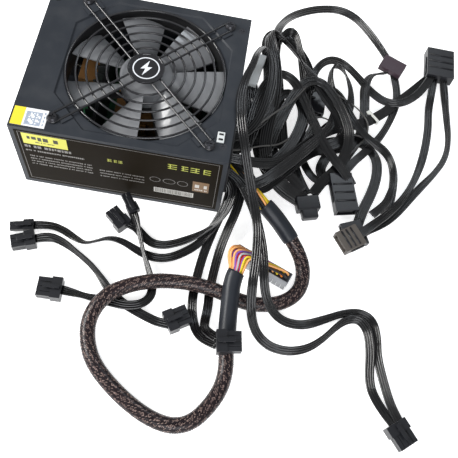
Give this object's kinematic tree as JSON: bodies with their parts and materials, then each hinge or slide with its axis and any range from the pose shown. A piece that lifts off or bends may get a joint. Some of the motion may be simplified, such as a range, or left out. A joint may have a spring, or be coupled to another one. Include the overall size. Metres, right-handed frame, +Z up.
{
  "type": "desktop power supply unit",
  "caption": "Boxed mains power supply with a top fan behind a wire guard, inlet with rocker switch, and captive output leads with plugs.",
  "frame": {"origin": "middle of the underside of the case", "axes": "+Z up with the fan on top, +X towards the lead exit, -Y towards the printed side label"},
  "size_m": [0.3929, 0.4657, 0.0912],
  "materials": {
    "case_coat": "satin dark blue-grey",
    "black_screw": "black zinc",
    "fan_plastic": "matt",
    "winding": "wound copper",
    "guard_gloss": "gloss black",
    "badge_gloss": "gloss",
    "inlet_plastic": "satin",
    "contact_metal": "bright",
    "grommet_plastic": "satin",
    "board_green": "satin",
    "bare_aluminium": "extruded",
    "winding_tape": "satin tape",
    "copper_wire": "enamelled wire",
    "can_sleeve": "gloss sleeve",
    "label_print": "satin print",
    "sticker_paper": "matt",
    "rotor_grey": "gloss dark grey",
    "ribbon_jacket": "satin wire jacket",
    "braid_sleeve": "open braid over wires",
    "shrink_tube": "satin",
    "tie_nylon": "satin nylon",
    "plug_black": "satin",
    "plug_purple": "satin",
    "plug_grey": "satin",
    "plug_white": "satin"
  },
  "bodies": {
    "unit": {"base_tray": "case_coat", "top_cover": "case_coat", "cover_screws": "black_screw", "fan_frame": "fan_plastic", "fan_stator": "winding", "fan_guard": "guard_gloss", "guard_badge": "badge_gloss", "fan_screws": "black_screw", "ac_inlet": "inlet_plastic", "inlet_pins": "contact_metal", "switch_bezel": "inlet_plastic", "cable_grommet": "grommet_plastic", "circuit_board": "board_green", "board_standoffs": "contact_metal", "primary_heatsink": "bare_aluminium", "output_heatsink": "bare_aluminium", "main_transformer": "winding_tape", "output_choke": "copper_wire", "bulk_capacitor": "can_sleeve", "output_capacitors": "can_sleeve", "line_filter": "winding_tape", "side_label": "label_print", "corner_sticker": "sticker_paper", "cord_main": "braid_sleeve", "cord_vga_a1": "ribbon_jacket", "cord_vga_a2": "ribbon_jacket", "cord_vga_b1": "ribbon_jacket", "cord_vga_b2": "ribbon_jacket", "cord_cpu_1": "ribbon_jacket", "cord_cpu_2": "ribbon_jacket", "cord_long_1": "ribbon_jacket", "cord_long_2": "ribbon_jacket", "cord_drive_a": "ribbon_jacket", "cord_drive_b": "ribbon_jacket", "cord_drive_c": "ribbon_jacket", "cord_drive_d": "ribbon_jacket", "cord_drive_e": "ribbon_jacket", "cord_drive_f": "ribbon_jacket", "shrink_case_end": "shrink_tube", "shrink_plug_end": "shrink_tube", "cable_tie": "tie_nylon", "plug_main": "plug_grey", "plug_vga_a_two": "plug_black", "plug_vga_a_six": "plug_black", "plug_vga_b_six": "plug_black", "plug_vga_b_two": "plug_black", "plug_vga_b_end": "plug_black", "plug_vga_a_end": "plug_black", "plug_cpu": "plug_black", "plug_long": "plug_black", "plug_sata_one": "plug_purple", "plug_sata_two": "plug_black", "plug_sata_three": "plug_black", "plug_drive_one": "plug_black", "plug_drive_two": "plug_black", "plug_drive_three": "plug_black", "plug_drive_four": "plug_white"},
    "rotor": {"fan_rotor": "rotor_grey", "fan_shaft": "contact_metal"},
    "rocker": {"power_rocker": "inlet_plastic"}
  },
  "joints": [
    {"name": "fan_spin", "type": "hinge", "parent": "unit", "child": "rotor", "pos_m": [0.0075, 0, 0.07], "axis": [0, 0, 1], "continuous": true},
    {"name": "rocker_turn", "type": "hinge", "parent": "unit", "child": "rocker", "pos_m": [-0.0845, 0.048, 0.06], "axis": [0, 1, 0], "range_deg": [-12, 12]}
  ]
}
